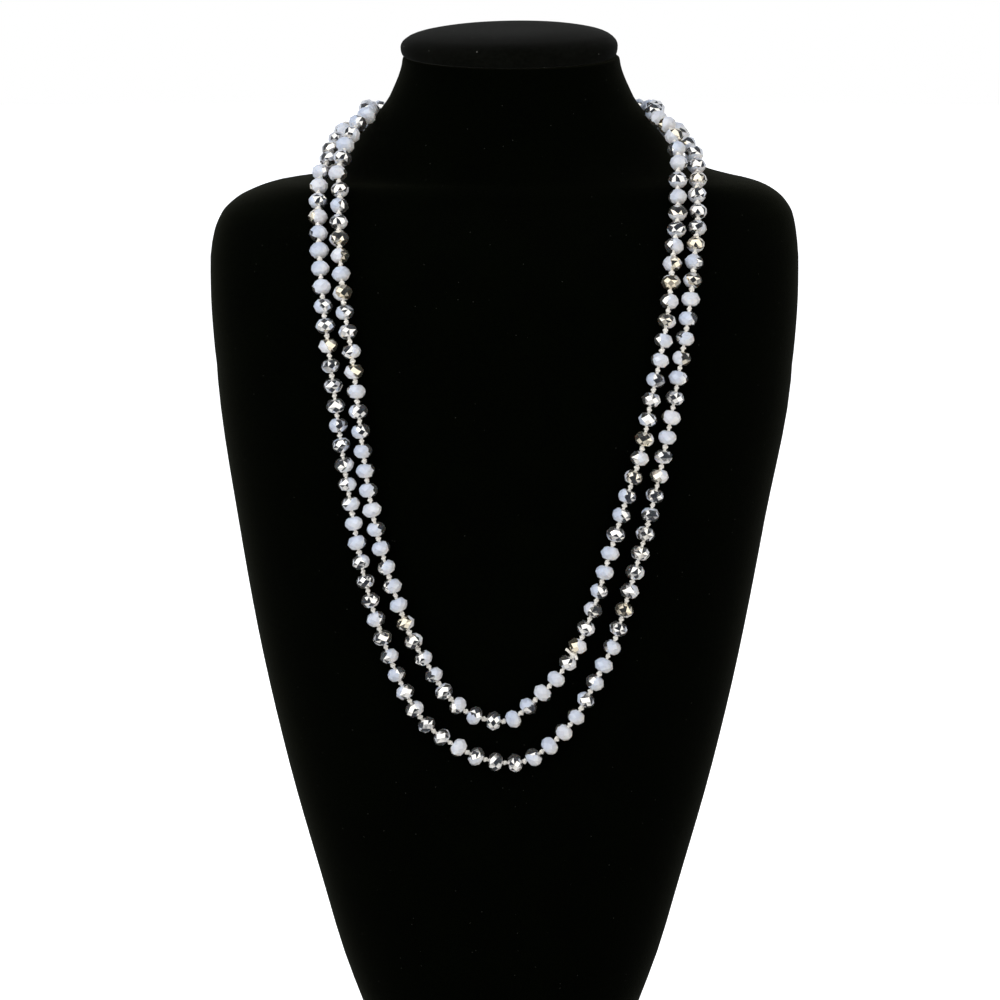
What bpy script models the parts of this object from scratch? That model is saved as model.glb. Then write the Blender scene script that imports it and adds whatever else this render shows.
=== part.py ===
# Long necklace of cut glass beads, knotted on its thread and worn doubled round a velvet neck bust.
# Metres, +Z up. The bust stands on its flat base and its front faces -Y.
import bpy
import bmesh
from bisect import bisect_right
from math import cos, pi, radians, sin, tan
from mathutils import Vector
from mathutils.geometry import interpolate_bezier

# Bust: its base, its chest and shoulders, and the top of its neck
BASE_WIDTH = 0.116
BASE_FRONT = 0.080
BASE_BACK = 0.020
BASE_EDGE = 0.003
SHOULDER_WIDTH = 0.250
CHEST_FRONT = 0.091
SHOULDER_BACK = 0.042
CHEST_HEIGHT = 0.280
NECK_WIDTH = 0.092
NECK_DEPTH = 0.072
NECK_TOP = 0.4135
NECK_TILT = radians(5.8)
TILT_START_SHARE = 1.61
BASE_LEAN = -0.0015
NECK_LEAN = 0.003
# The neck's centre line stands this far behind the middle of the whole
NECK_SETBACK = 0.0218
BUST_SIDES = 28

# Cap on the neck
CAP_WIDTH = 0.0928
CAP_DEPTH = 0.0728
CAP_THICKNESS = 0.0092
SEAT_GAP = 0.0003
CAP_LEAN = 0.002

# Beads, knots and thread
BEAD_DIAMETER = 0.0080
BEAD_THICKNESS = 0.0060
TABLE_DIAMETER = 0.0046
BEAD_PITCH = 0.00822
BEAD_SIDES = 8
THREAD_DIAMETER = 0.0012
THREAD_SIDES = 4
KNOT_DIAMETER = 0.0024
JOINING_KNOT_DIAMETER = 0.0030
JOINING_KNOT_SHARE = 0.266
LAY_CLEARANCE = 0.00045
FIRST_BEAD_SHARE = 0.35

# Sections of the bust, from the base up. A station runs from 0 at the base through 1 at the
# chest to 2 at the neck's top. Shares are 1 at the chest's size. Below the chest a share of 0 is
# the base's size, and above it the neck's. The lean is a share of the base's or the neck's lean.
# station, width, front, back, lean, squareness
BUST_SECTIONS = [
    (0.000, 0.000, 0.000, 0.000, 1.00, 2.40),
    (0.110, 0.166, 0.220, 0.100, 1.00, 2.40),
    (0.210, 0.284, 0.400, 0.250, 1.00, 2.40),
    (0.400, 0.500, 0.680, 0.500, 1.00, 2.45),
    (0.590, 0.676, 0.880, 0.720, 1.00, 2.50),
    (0.780, 0.816, 0.980, 0.900, 0.80, 2.50),
    (1.000, 0.957, 1.000, 1.000, 0.00, 2.50),
    (1.150, 0.985, 0.964, 1.000, 0.00, 2.50),
    (1.270, 0.997, 0.882, 1.000, 0.00, 2.50),
    (1.375, 1.000, 0.755, 1.000, 0.00, 2.50),
    (1.450, 0.987, 0.627, 1.000, 0.10, 2.50),
    (1.510, 0.934, 0.509, 0.900, 0.30, 2.50),
    (1.554, 0.866, 0.418, 0.750, 0.45, 2.50),
    (1.588, 0.803, 0.355, 0.600, 0.55, 2.50),
    (1.607, 0.720, 0.309, 0.450, 0.60, 2.50),
    (1.622, 0.560, 0.273, 0.350, 0.67, 2.40),
    (1.644, 0.446, 0.236, 0.250, 0.75, 2.30),
    (1.682, 0.345, 0.182, 0.150, 0.85, 2.20),
    (1.727, 0.267, 0.136, 0.100, 1.00, 2.10),
    (1.783, 0.192, 0.091, 0.050, 1.00, 2.00),
    (1.824, 0.137, 0.064, 0.030, 1.00, 2.00),
    (1.880, 0.072, 0.033, 0.000, 1.00, 2.00),
    (2.000, 0.000, 0.000, 0.000, 1.00, 2.00),
]

# Sections of the cap: height as a share of its thickness, and outline as a share of its size
CAP_SECTIONS = [
    (0.00, 0.975),
    (0.12, 1.000),
    (0.62, 1.000),
    (0.90, 0.975),
    (1.00, 0.890),
]

# Route of the thread, once round for each string. Each starts behind the neck and comes over the
# left shoulder. The points are stations and turns in degrees from the front towards +X. The lift,
# in bead diameters, is how far the thread hangs clear where it bridges from the neck to the chest,
# and where the strings cross behind the neck.
# station, turn, lift
INNER_ROUTE = [
    (1.775, -180, 0.00), (1.788, -168, 0.00), (1.797, -150, 0.00), (1.799, -128, 0.00),
    (1.803, -106, 0.00), (1.812, -90, 0.00), (1.810, -79, 0.02), (1.788, -72, 0.24),
    (1.754, -67, 0.65), (1.709, -62, 0.81), (1.666, -56, 0.94), (1.630, -47.7, 0.82),
    (1.609, -39.5, 0.36), (1.588, -34.4, 0.02), (1.494, -29.5, 0.00), (1.393, -27.3, 0.00),
    (1.240, -26.0, 0.00), (1.129, -24.8, 0.00), (0.976, -23.9, 0.00), (0.832, -22.2, 0.00),
    (0.719, -18.8, 0.00), (0.638, -15.0, 0.00), (0.589, -11.2, 0.00), (0.560, -9.1, 0.00),
    (0.525, -3.8, 0.00), (0.519, 1.3, 0.00), (0.541, 4.0, 0.00), (0.582, 8.8, 0.00),
    (0.631, 12.7, 0.00), (0.685, 15.4, 0.00), (0.766, 18.0, 0.00), (0.847, 20.5, 0.00),
    (0.930, 23.1, 0.00), (0.992, 23.8, 0.00), (1.092, 25.2, 0.00), (1.255, 26.9, 0.00),
    (1.405, 28.2, 0.00), (1.503, 30.5, 0.00), (1.589, 34.6, 0.05), (1.609, 38.7, 0.44),
    (1.623, 46.5, 0.95), (1.663, 54.6, 1.02), (1.707, 60.7, 1.05), (1.753, 65.0, 0.76),
    (1.784, 70.5, 0.28), (1.808, 78.5, 0.02), (1.811, 90, 0.00), (1.803, 106, 0.04),
    (1.799, 128, 0.22), (1.797, 150, 0.62), (1.788, 168, 1.06),
]
OUTER_ROUTE = [
    (1.775, -180, 1.15), (1.757, -168, 1.06), (1.736, -150, 0.62), (1.729, -128, 0.22),
    (1.732, -106, 0.04), (1.739, -92, 0.08), (1.733, -82, 0.33), (1.714, -75, 0.59),
    (1.680, -69.5, 0.64), (1.649, -63, 0.65), (1.625, -54, 0.54), (1.609, -46.3, 0.14),
    (1.586, -40.7, 0.00), (1.496, -34.7, 0.00), (1.401, -32.2, 0.00), (1.247, -30.8, 0.00),
    (1.136, -29.9, 0.00), (0.982, -28.9, 0.00), (0.842, -27.1, 0.00), (0.725, -25.0, 0.00),
    (0.619, -21.0, 0.00), (0.565, -18.1, 0.00), (0.514, -14.0, 0.00), (0.478, -7.6, 0.00),
    (0.455, -1.2, 0.00), (0.455, 3.7, 0.00), (0.475, 7.7, 0.00), (0.518, 13.1, 0.00),
    (0.570, 16.8, 0.00), (0.624, 20.2, 0.00), (0.709, 23.2, 0.00), (0.822, 26.3, 0.00),
    (0.963, 28.7, 0.00), (1.103, 30.2, 0.00), (1.271, 31.9, 0.00), (1.427, 33.6, 0.00),
    (1.523, 36.6, 0.00), (1.572, 39.0, 0.08), (1.603, 43.8, 0.20), (1.619, 52.7, 0.60),
    (1.645, 62.9, 0.79), (1.690, 69.3, 0.65), (1.719, 75.3, 0.49), (1.737, 83, 0.25),
    (1.739, 92, 0.08), (1.732, 106, 0.00), (1.729, 128, 0.00), (1.736, 150, 0.00),
    (1.757, 168, 0.00),
]


def bust_sizes(station):
    """Height, half width, front, back, lean and squareness of the bust's section at a station."""
    rows = BUST_SECTIONS
    station = min(max(station, rows[0][0]), rows[-1][0])
    low = max(i for i in range(len(rows) - 1) if rows[i][0] <= station)
    part = (station - rows[low][0]) / (rows[low + 1][0] - rows[low][0])
    width, front, back, lean, squareness = (
        a + (b - a) * part for a, b in zip(rows[low][1:], rows[low + 1][1:]))
    if station <= 1:
        end_width, end_front, end_back, end_lean = BASE_WIDTH, BASE_FRONT, BASE_BACK, BASE_LEAN
        height = CHEST_HEIGHT * station
    else:
        end_width, end_front, end_back, end_lean = NECK_WIDTH, NECK_DEPTH / 2, NECK_DEPTH / 2, NECK_LEAN
        height = CHEST_HEIGHT + (NECK_TOP - CHEST_HEIGHT) * (station - 1)
    half_width = (end_width + (SHOULDER_WIDTH - end_width) * width) / 2
    front = end_front + (CHEST_FRONT - end_front) * front
    back = end_back + (SHOULDER_BACK - end_back) * back
    return height, half_width, front, back, end_lean * lean, squareness


def oval(turn, half_width, front, back, squareness):
    """Point of a squared oval, at a turn in degrees from the front (-Y) towards +X."""
    s, c = sin(radians(turn)), cos(radians(turn))
    middle, half_depth = (back - front) / 2, (back + front) / 2
    x = half_width * (1 if s > 0 else -1) * abs(s) ** (2 / squareness)
    y = middle - half_depth * (1 if c > 0 else -1) * abs(c) ** (2 / squareness)
    return x, y, middle


def bust_point(station, turn):
    """Point on the velvet of the bust."""
    height, half_width, front, back, lean, squareness = bust_sizes(station)
    x, y, middle = oval(turn, half_width, front, back, squareness)
    tilt = tan(NECK_TILT) * max(0, station - TILT_START_SHARE) / (2 - TILT_START_SHARE)
    return Vector((x + lean, y + NECK_SETBACK, height + (y - middle) * tilt))


def bust_normal(station, turn):
    """Outward direction of the bust's surface."""
    up = bust_point(station + 0.009, turn) - bust_point(station - 0.009, turn)
    round_bust = bust_point(station, turn + 1.5) - bust_point(station, turn - 1.5)
    return round_bust.cross(up).normalized()


def make_material(name, colour, roughness, metallic=0.0):
    material = bpy.data.materials.new(name)
    material.use_nodes = True
    shader = material.node_tree.nodes["Principled BSDF"]
    shader.inputs["Base Color"].default_value = (*colour, 1)
    shader.inputs["Roughness"].default_value = roughness
    shader.inputs["Metallic"].default_value = metallic
    return material


def join_equal_rings(bm, low, high):
    """Wall between two rings with as many points, wound so that it faces out."""
    count = len(low)
    for i in range(count):
        j = (i + 1) % count
        bm.faces.new((low[i], low[j], high[j], high[i]))


def join_stepped_rings(bm, low, high, forward):
    """Triangles between two rings turned by half a step. The high ring is ahead if forward is 1."""
    count = len(low)
    for i in range(count):
        j = (i + 1) % count
        if forward:
            bm.faces.new((low[i], low[j], high[i]))
            bm.faces.new((low[j], high[j], high[i]))
        else:
            bm.faces.new((low[i], low[j], high[j]))
            bm.faces.new((low[i], high[j], high[i]))


def join_table(bm, thread, table, forward):
    """Flat table of a bead, from the thread's ring out. It faces along the thread if forward is 1."""
    share = len(table) // len(thread)
    for i, corner in enumerate(thread):
        edge = [table[(i * share + k) % len(table)] for k in range(share + 1)]
        faces = [(corner, first, second) for first, second in zip(edge, edge[1:])]
        faces.append((corner, edge[-1], thread[(i + 1) % len(thread)]))
        for face in faces:
            bm.faces.new(face if forward else face[::-1])


def add_object(name, bm, material, collection, smooth=True):
    mesh = bpy.data.meshes.new(name)
    bm.to_mesh(mesh)
    bm.free()
    mesh.materials.append(material)
    if smooth:
        mesh.shade_smooth()
        mesh.set_sharp_from_angle(angle=radians(50))
    piece = bpy.data.objects.new(name, mesh)
    collection.objects.link(piece)
    return piece


def loft(bm, sections):
    """Closed body through sections of as many points each, from the bottom up."""
    rings = [[bm.verts.new(point) for point in section] for section in sections]
    bm.faces.new(rings[0][::-1])
    for low, high in zip(rings, rings[1:]):
        join_equal_rings(bm, low, high)
    bm.faces.new(rings[-1])


def make_bust(collection):
    """Torso, shoulders and neck in one body, on a flat base with an eased edge."""
    turns = [360 * i / BUST_SIDES for i in range(BUST_SIDES)]
    foot = [bust_point(0, turn) for turn in turns]
    middle = Vector((BASE_LEAN, (BASE_BACK - BASE_FRONT) / 2 + NECK_SETBACK, 0))
    inset = 1 - 2 * BASE_EDGE / BASE_WIDTH
    sections = [[middle + (point - middle) * inset for point in foot]]
    sections.append([point + Vector((0, 0, BASE_EDGE)) for point in foot])
    for row in BUST_SECTIONS[1:]:
        sections.append([bust_point(row[0], turn) for turn in turns])
    bm = bmesh.new()
    loft(bm, sections)
    velvet = make_material("black_velvet", (0.006, 0.006, 0.005), 0.95)
    return add_object("neck_bust", bm, velvet, collection)


def make_cap(collection):
    """Velvet disc on top of the neck, tilted with it and standing a little proud of it."""
    sections = []
    for height_share, outline in CAP_SECTIONS:
        height = NECK_TOP + SEAT_GAP + CAP_THICKNESS * height_share
        section = []
        for i in range(BUST_SIDES):
            x, y, _ = oval(360 * i / BUST_SIDES, CAP_WIDTH / 2, CAP_DEPTH / 2, CAP_DEPTH / 2, 2.0)
            x, y = x * outline, y * outline
            section.append(Vector((x + CAP_LEAN, y + NECK_SETBACK, height + y * tan(NECK_TILT))))
        sections.append(section)
    bm = bmesh.new()
    loft(bm, sections)
    velvet = make_material("cap_velvet", (0.012, 0.012, 0.010), 0.9)
    return add_object("neck_cap", bm, velvet, collection)


def thread_line():
    """Dense closed line of the thread's centre, as points and the outward direction at each."""
    lay = BEAD_DIAMETER / 2 + LAY_CLEARANCE
    knots, normals = [], []
    for station, turn, lift in INNER_ROUTE + OUTER_ROUTE:
        normal = bust_normal(station, turn)
        knots.append(bust_point(station, turn) + normal * (lay + lift * BEAD_DIAMETER))
        normals.append(normal)
    count = len(knots)
    slopes = []
    for i in range(count):
        before = knots[i] - knots[i - 1]
        after = knots[(i + 1) % count] - knots[i]
        slopes.append((before / before.length * after.length + after / after.length * before.length)
                      / (before.length + after.length))
    points, sides = [], []
    steps = 24
    for i in range(count):
        j = (i + 1) % count
        reach = (knots[j] - knots[i]).length / 3
        handles = (knots[i] + slopes[i] * reach, knots[j] - slopes[j] * reach)
        stretch = interpolate_bezier(knots[i], handles[0], handles[1], knots[j], steps + 1)
        points += stretch[:-1]
        sides += [normals[i].lerp(normals[j], k / steps) for k in range(steps)]
    return points, sides


def place_beads():
    """Frames for beads at one equal pitch round the whole thread, and the first string's count."""
    points, sides = thread_line()
    count = len(points)
    reached = [0.0]
    for i in range(count):
        reached.append(reached[-1] + (points[(i + 1) % count] - points[i]).length)
    first_length = reached[count * len(INNER_ROUTE) // (len(INNER_ROUTE) + len(OUTER_ROUTE))]
    total = round(reached[-1] / BEAD_PITCH)
    pitch = reached[-1] / total
    first_count = round(first_length / pitch - FIRST_BEAD_SHARE)
    frames = []
    for i in range(2 * total + 1):
        goal = pitch * (i / 2 + FIRST_BEAD_SHARE) % reached[-1]
        at = bisect_right(reached, goal, 0, count) - 1
        part = (goal - reached[at]) / (reached[at + 1] - reached[at])
        after = (at + 1) % count
        centre = points[at].lerp(points[after], part)
        ahead = (points[after] - points[at]).normalized()
        out = sides[at].lerp(sides[after], part)
        across = ahead.cross(out).normalized()
        frames.append((centre, ahead, across.cross(ahead), across))
    return frames, total, first_count


def ring(bm, frame, along, radius, sides, step=0.0):
    """Ring of points across the thread, a distance along it from the frame's centre."""
    centre, ahead, out, across = frame
    points = []
    for i in range(sides):
        angle = 2 * pi * (i + step) / sides
        spread = out * cos(angle) + across * sin(angle)
        points.append(bm.verts.new(centre + ahead * along + spread * radius))
    return points


def make_string(name, frames, first, last, joining, material, collection):
    """String of rigid cut beads, each with two tables, on a thread with a knot between neighbours."""
    bm = bmesh.new()
    half = BEAD_THICKNESS / 2
    thread, table = THREAD_DIAMETER / 2, TABLE_DIAMETER / 2
    # The string starts and ends between two beads, half the gap short of the next string's end
    start = frames[2 * first]
    end_ring = ring(bm, start, SEAT_GAP / 2, thread, THREAD_SIDES)
    bm.faces.new(end_ring[::-1])
    for bead in range(first, last):
        frame = frames[2 * bead + 1]
        entry = ring(bm, frame, -half, thread, THREAD_SIDES)
        low_table = ring(bm, frame, -half, table, BEAD_SIDES)
        girdle = ring(bm, frame, 0.0, BEAD_DIAMETER / 2, BEAD_SIDES, 0.5)
        high_table = ring(bm, frame, half, table, BEAD_SIDES)
        leaving = ring(bm, frame, half, thread, THREAD_SIDES)
        join_equal_rings(bm, end_ring, entry)
        join_table(bm, entry, low_table, False)
        join_stepped_rings(bm, low_table, girdle, True)
        join_stepped_rings(bm, girdle, high_table, False)
        join_table(bm, leaving, high_table, True)
        knot_size = JOINING_KNOT_DIAMETER if bead + 1 == joining else KNOT_DIAMETER
        if bead < last - 1:
            end_ring = ring(bm, frames[2 * bead + 2], 0.0, knot_size / 2, THREAD_SIDES)
        else:
            end_ring = ring(bm, frames[2 * bead + 2], -SEAT_GAP / 2, thread, THREAD_SIDES)
        join_equal_rings(bm, leaving, end_ring)
    bm.faces.new(end_ring)
    return add_object(name, bm, material, collection, smooth=False)


def main():
    for old in list(bpy.data.objects):
        bpy.data.objects.remove(old)
    collection = bpy.data.collections.new("beaded_necklace_on_bust")
    bpy.context.scene.collection.children.link(collection)
    make_bust(collection)
    make_cap(collection)
    frames, total, first_count = place_beads()
    joining = round(total * JOINING_KNOT_SHARE)
    glass = make_material("opal_and_silver_glass", (0.80, 0.82, 0.88), 0.12)
    make_string("inner_bead_string", frames, 0, first_count, joining, glass, collection)
    make_string("outer_bead_string", frames, first_count, total, joining, glass.copy(), collection)
    print("beads", total, "on the inner string", first_count)


main()
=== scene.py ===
# Long necklace of cut opal glass beads, each silvered on one side, knotted on cream thread and worn
# doubled round a tall black velvet neck bust. Metres, +Z up, the front faces -Y.
from bisect import bisect_right
from math import cos, pi, radians, sin, tan
from random import Random

import bmesh
import bpy
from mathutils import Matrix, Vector
from mathutils.geometry import interpolate_bezier


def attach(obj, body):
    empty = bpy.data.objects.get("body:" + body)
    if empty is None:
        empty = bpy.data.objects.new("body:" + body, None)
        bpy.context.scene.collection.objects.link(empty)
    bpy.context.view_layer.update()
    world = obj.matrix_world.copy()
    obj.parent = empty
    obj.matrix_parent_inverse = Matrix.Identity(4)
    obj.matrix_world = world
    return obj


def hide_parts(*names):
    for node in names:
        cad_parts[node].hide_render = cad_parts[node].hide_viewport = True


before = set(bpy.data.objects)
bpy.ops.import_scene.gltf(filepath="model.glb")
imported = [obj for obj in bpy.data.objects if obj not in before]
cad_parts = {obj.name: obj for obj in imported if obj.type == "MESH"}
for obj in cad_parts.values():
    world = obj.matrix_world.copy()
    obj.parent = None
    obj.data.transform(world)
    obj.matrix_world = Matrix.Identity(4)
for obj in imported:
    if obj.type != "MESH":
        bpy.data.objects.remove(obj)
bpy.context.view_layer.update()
print("frame loaded")

scene = bpy.context.scene
scene.view_settings.view_transform = "Standard"  # keeps the white ground white


# The photograph's view: a long lens, a little above the chest and looking down ten degrees
viewpoint = {
    "target": (-0.0019, -0.0632, 0.236),
    "pitch": radians(10),
    "distance": 1.5,
    "lens": 130.9,
    "clipEnd": 50,
}

ahead = Vector((0, cos(viewpoint["pitch"]), -sin(viewpoint["pitch"])))
upward = Vector((0, sin(viewpoint["pitch"]), cos(viewpoint["pitch"])))
rightward = Vector((1, 0, 0))


def makeCamera():
    lensData = bpy.data.cameras.new("camera")
    lensData.lens = viewpoint["lens"]
    lensData.clip_end = viewpoint["clipEnd"]
    camera = bpy.data.objects.new("camera", lensData)
    camera.location = Vector(viewpoint["target"]) - ahead * viewpoint["distance"]
    camera.rotation_euler = (pi / 2 - viewpoint["pitch"], 0, 0)
    scene.collection.objects.link(camera)
    scene.camera = camera


makeCamera()
print("camera set")


# A socket of a node tree. Sums on it add Math nodes, and make adds any other node.
class Wire:
    def __init__(self, tree, socket=None):
        self.tree = tree
        self.socket = socket

    def make(self, kind, settings=None, values=None, output=0):
        node = self.tree.nodes.new(kind)
        for name, value in (settings or {}).items():
            setattr(node, name, value)
        for name, value in (values or {}).items():
            if isinstance(value, Wire):
                self.tree.links.new(value.socket, node.inputs[name])
            else:
                node.inputs[name].default_value = value
        return Wire(self.tree, node.outputs[output])

    def sum(self, operation, first, second):
        return self.make("ShaderNodeMath", {"operation": operation}, {0: first, 1: second})

    def blend(self, low, high):
        settings = {"data_type": "RGBA"}
        low, high = ((*c, 1) if isinstance(c, tuple) else c for c in (low, high))
        return self.make("ShaderNodeMix", settings, {0: self, 6: low, 7: high}, 2)

    def step(self, low, high):
        return self.make("ShaderNodeMapRange", {"interpolation_type": "SMOOTHSTEP"},
                         {"Value": self, "From Min": low, "From Max": high})

    def __add__(self, other):
        return self.sum("ADD", self, other)

    def __sub__(self, other):
        return self.sum("SUBTRACT", self, other)

    def __mul__(self, other):
        return self.sum("MULTIPLY", self, other)

    def __radd__(self, other):
        return self.sum("ADD", other, self)

    def __rsub__(self, other):
        return self.sum("SUBTRACT", other, self)


def newFinish(name, constants):
    material = bpy.data.materials.new(name)
    material.use_nodes = True
    tree = material.node_tree
    shader = tree.nodes["Principled BSDF"]
    for socket, value in constants.items():
        shader.inputs[socket].default_value = value
    return material, Wire(tree), shader


def feed(shader, **links):
    for name, wire in links.items():
        wire.tree.links.new(wire.socket, shader.inputs[name.replace("_", " ")])


# Short-pile velvet: nearly no light comes back from the front, and the pile's tips catch it at the edges
velvet = {
    "bust": {"colour": (0.0, 0.0002, 0.0), "worn": (0.0003, 0.0008, 0.0), "lint": 0.03,
             "sheen": 0.029, "sheenTint": (0.97, 1.0, 0.62, 1)},
    "cap": {"colour": (0.0010, 0.0012, 0.0007), "worn": (0.0040, 0.0044, 0.0036), "lint": 0.30,
            "sheen": 0.050, "sheenTint": (0.98, 1.0, 0.95, 1)},
    "roughness": 0.95, "specular": 0.02, "sheenRoughness": 0.40,
    # noises that shade the cloth, each with the range it rises over and its share
    "nap": {"scale": 46, "detail": 4.0, "rise": (0.3, 0.75), "share": 0.4},
    "tufts": {"scale": 650, "detail": 2.0, "rise": (0.3, 0.7), "share": 0.35},
    "pile": {"scale": 2600, "detail": 2.0, "rise": (0.4, 0.8), "share": 0.25},
    # lint: cells per metre, the cells that hold a speck, the speck's edge
    "lintCells": 240, "lintChance": (0.42, 0.43), "lintEdge": (0.05, 0.07), "lintColour": (0.5, 0.5, 0.46),
    "bump": 0.35, "bumpDepth": 0.0004,
}


def makeVelvet(name, kind):
    cloth = velvet[kind]
    material, wire, shader = newFinish(name, {
        "Roughness": velvet["roughness"],
        "Specular IOR Level": velvet["specular"],
        "Sheen Weight": cloth["sheen"],
        "Sheen Roughness": velvet["sheenRoughness"],
        "Sheen Tint": cloth["sheenTint"],
    })
    place = wire.make("ShaderNodeTexCoord", output=3)

    def noise(part):
        values = {"Vector": place, "Scale": velvet[part]["scale"], "Detail": velvet[part]["detail"]}
        return wire.make("ShaderNodeTexNoise", None, values)

    def share(wave, part):
        return wave.step(*velvet[part]["rise"]) * velvet[part]["share"]

    nap, tufts, pile = noise("nap"), noise("tufts"), noise("pile")
    shade = share(nap, "nap") + share(tufts, "tufts") + share(pile, "pile")
    cells = wire.make("ShaderNodeTexVoronoi", None, {"Vector": place, "Scale": velvet["lintCells"]})
    clean = Wire(wire.tree, cells.socket.node.outputs["Color"]).step(*velvet["lintChance"])
    specks = (1 - cells.step(*velvet["lintEdge"])) * (1 - clean)
    cloak = shade.blend(cloth["colour"], cloth["worn"])
    colour = (specks * cloth["lint"]).blend(cloak, velvet["lintColour"])
    bump = wire.make("ShaderNodeBump", None, {
        "Strength": velvet["bump"], "Distance": velvet["bumpDepth"], "Height": pile})
    feed(shader, Base_Color=colour, Normal=bump)
    return material


# Milky opal glass with painted light: each bead is painted bluish on its side toward one fixed
# light and cream on the far side. One side of each bead has a coat of silver mirror, which ends
# roughly along its facets.
glass = {
    "cream": (0.99, 0.965, 0.92),
    "blue": (0.68, 0.76, 0.925),
    "warm": (0.88, 0.86, 0.87),
    "silver": (0.93, 0.925, 0.91),
    "champagne": (0.93, 0.84, 0.66),
    "ior": 1.56, "specular": 0.5,
    "subsurface": 0.20, "subsurfaceRadius": (0.6, 0.8, 1.0), "subsurfaceScale": 0.0005,
    "patches": 420.0, "patchDetail": 3.0,
    # where the silver ends: shares of the way over the bead, of the facet's slant and of the patches
    "over": 0.6, "slant": 0.4, "ragged": 0.5, "edge": 0.05,
    # painted light: cream turns to blue toward the fixed light, by its share, from a start, and by the
    # patches' share
    "glow": 0.55, "paintedLightStart": 0.55, "cloud": 0.4,
    # the range of a bead's own shade that makes its milk warmer, how much, and the range for champagne
    "warmRange": (0.3, 1.0), "warmShare": 0.5, "champagneRange": (0.72, 0.98),
    "cover": 0.99, "rimLoss": 0.20, "rimBlend": 0.35,
    # how light a facet is, by its own chance and by its bead's
    "facetTone": 0.4, "beadTone": 0.4, "toneStart": 0.2,
    "darkFacet": (0.78, 0.78, 0.80), "lightFacet": (1.0, 1.0, 1.0),
    "roughness": 0.13, "silverPolish": 0.07,
}


def makeOpalGlass(name):
    material, wire, shader = newFinish(name, {
        "IOR": glass["ior"],
        "Specular IOR Level": glass["specular"],
        "Subsurface Weight": glass["subsurface"],
        "Subsurface Radius": glass["subsurfaceRadius"],
        "Subsurface Scale": glass["subsurfaceScale"],
    })

    def stored(attribute):
        return wire.make("ShaderNodeAttribute", {"attribute_name": attribute}, output=2)

    place = wire.make("ShaderNodeTexCoord", output=3)
    patches = wire.make("ShaderNodeTexNoise", None, {
        "Vector": place, "Scale": glass["patches"], "Detail": glass["patchDetail"]}) - 0.5
    shade, facet = stored("shade"), stored("facet")
    coat = stored("silver") * glass["over"] + stored("slant") * glass["slant"] + patches * glass["ragged"]
    coat = coat.step(-glass["edge"], glass["edge"])
    # Painted light: the milk goes from cream to blue toward the fixed light's side of each bead, with
    # patches
    depth = stored("glow") * glass["glow"] + glass["paintedLightStart"] + patches * glass["cloud"]
    milk = depth.step(0.0, 1.0).blend(glass["cream"], glass["blue"])
    milk = (shade.step(*glass["warmRange"]) * glass["warmShare"]).blend(milk, glass["warm"])
    mirror = shade.step(*glass["champagneRange"]).blend(glass["silver"], glass["champagne"])
    # The coat is thin, so some of the milk shows through it, most at the rim
    facing = wire.make("ShaderNodeLayerWeight", None, {"Blend": glass["rimBlend"]}, 1)
    coat = coat * (glass["cover"] - facing * glass["rimLoss"])
    tone = facet * glass["facetTone"] + shade * glass["beadTone"] + glass["toneStart"]
    tone = tone.blend(glass["darkFacet"], glass["lightFacet"])
    colour = wire.make("ShaderNodeMix", {"data_type": "RGBA", "blend_type": "MULTIPLY"},
                       {0: 1.0, 6: coat.blend(milk, mirror), 7: tone}, 2)
    feed(shader, Base_Color=colour, Metallic=coat,
         Roughness=glass["roughness"] - coat * glass["silverPolish"])
    return material


# Cream thread, a little glossy
thread = {
    "colour": (0.97, 0.94, 0.89),
    "shadow": (0.93, 0.90, 0.84),
    "roughness": 0.45, "sheen": 0.3,
    "subsurface": 0.2, "subsurfaceRadius": (1.0, 0.95, 0.9), "subsurfaceScale": 0.0006,
    "fibre": 2200.0, "fibreDetail": 3.0, "fibreRise": (0.3, 0.6), "bump": 0.3, "bumpDepth": 0.0002,
    "sides": 6,
}


def makeThreadFinish(name):
    material, wire, shader = newFinish(name, {
        "Roughness": thread["roughness"],
        "Sheen Weight": thread["sheen"],
        "Subsurface Weight": thread["subsurface"],
        "Subsurface Radius": thread["subsurfaceRadius"],
        "Subsurface Scale": thread["subsurfaceScale"],
    })
    place = wire.make("ShaderNodeTexCoord", output=3)
    fibre = wire.make("ShaderNodeTexNoise", None, {
        "Vector": place, "Scale": thread["fibre"], "Detail": thread["fibreDetail"]})
    bump = wire.make("ShaderNodeBump", None, {
        "Strength": thread["bump"], "Distance": thread["bumpDepth"], "Height": fibre})
    # Painted shade: the thread is a little darker where its fibre noise, which also sets the bump, is low
    colour = fibre.step(*thread["fibreRise"]).blend(thread["shadow"], thread["colour"])
    feed(shader, Base_Color=colour, Normal=bump)
    return material


# Bust sizes and sections, the same as the solid's
bust = {
    "baseWidth": 0.116, "baseFront": 0.080, "baseBack": 0.020, "baseLean": -0.0015,
    "shoulderWidth": 0.250, "chestFront": 0.091, "shoulderBack": 0.042, "chestHeight": 0.280,
    "neckWidth": 0.092, "neckDepth": 0.072, "neckTop": 0.4135, "neckTilt": radians(5.8), "neckLean": 0.003,
    "tiltStart": 1.61, "setback": 0.0218,
    "sides": 112,
    # steps of station and turn that a normal is measured over
    "normalSteps": (0.009, 1.5),
    # first station, last station, count
    "rings": [(0.02, 1.42, 34), (1.43, 1.72, 44), (1.735, 1.99, 16)],
    # rounding of the base, height and share of the outline, and of the neck's rim, drop and share
    "footRound": [(0, 0.93), (0.0002, 0.95), (0.0009, 0.976), (0.0018, 0.992), (0.003, 1.0)],
    "rimRound": [(0.0005, 0.996), (0.0001, 0.985), (0.0, 0.96)],
    # Where the velvet that is seen goes past the sections: station, added width, added lean
    "trim": [(1.510, 0.024, 0.08), (1.554, 0.032, 0.34), (1.588, -0.002, 0.80), (1.607, -0.015, 1.14),
             (1.622, 0.003, 1.77), (1.644, 0.000, 1.20), (1.682, 0.000, 0.45), (2.000, 0.005, -0.05)],
}
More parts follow.
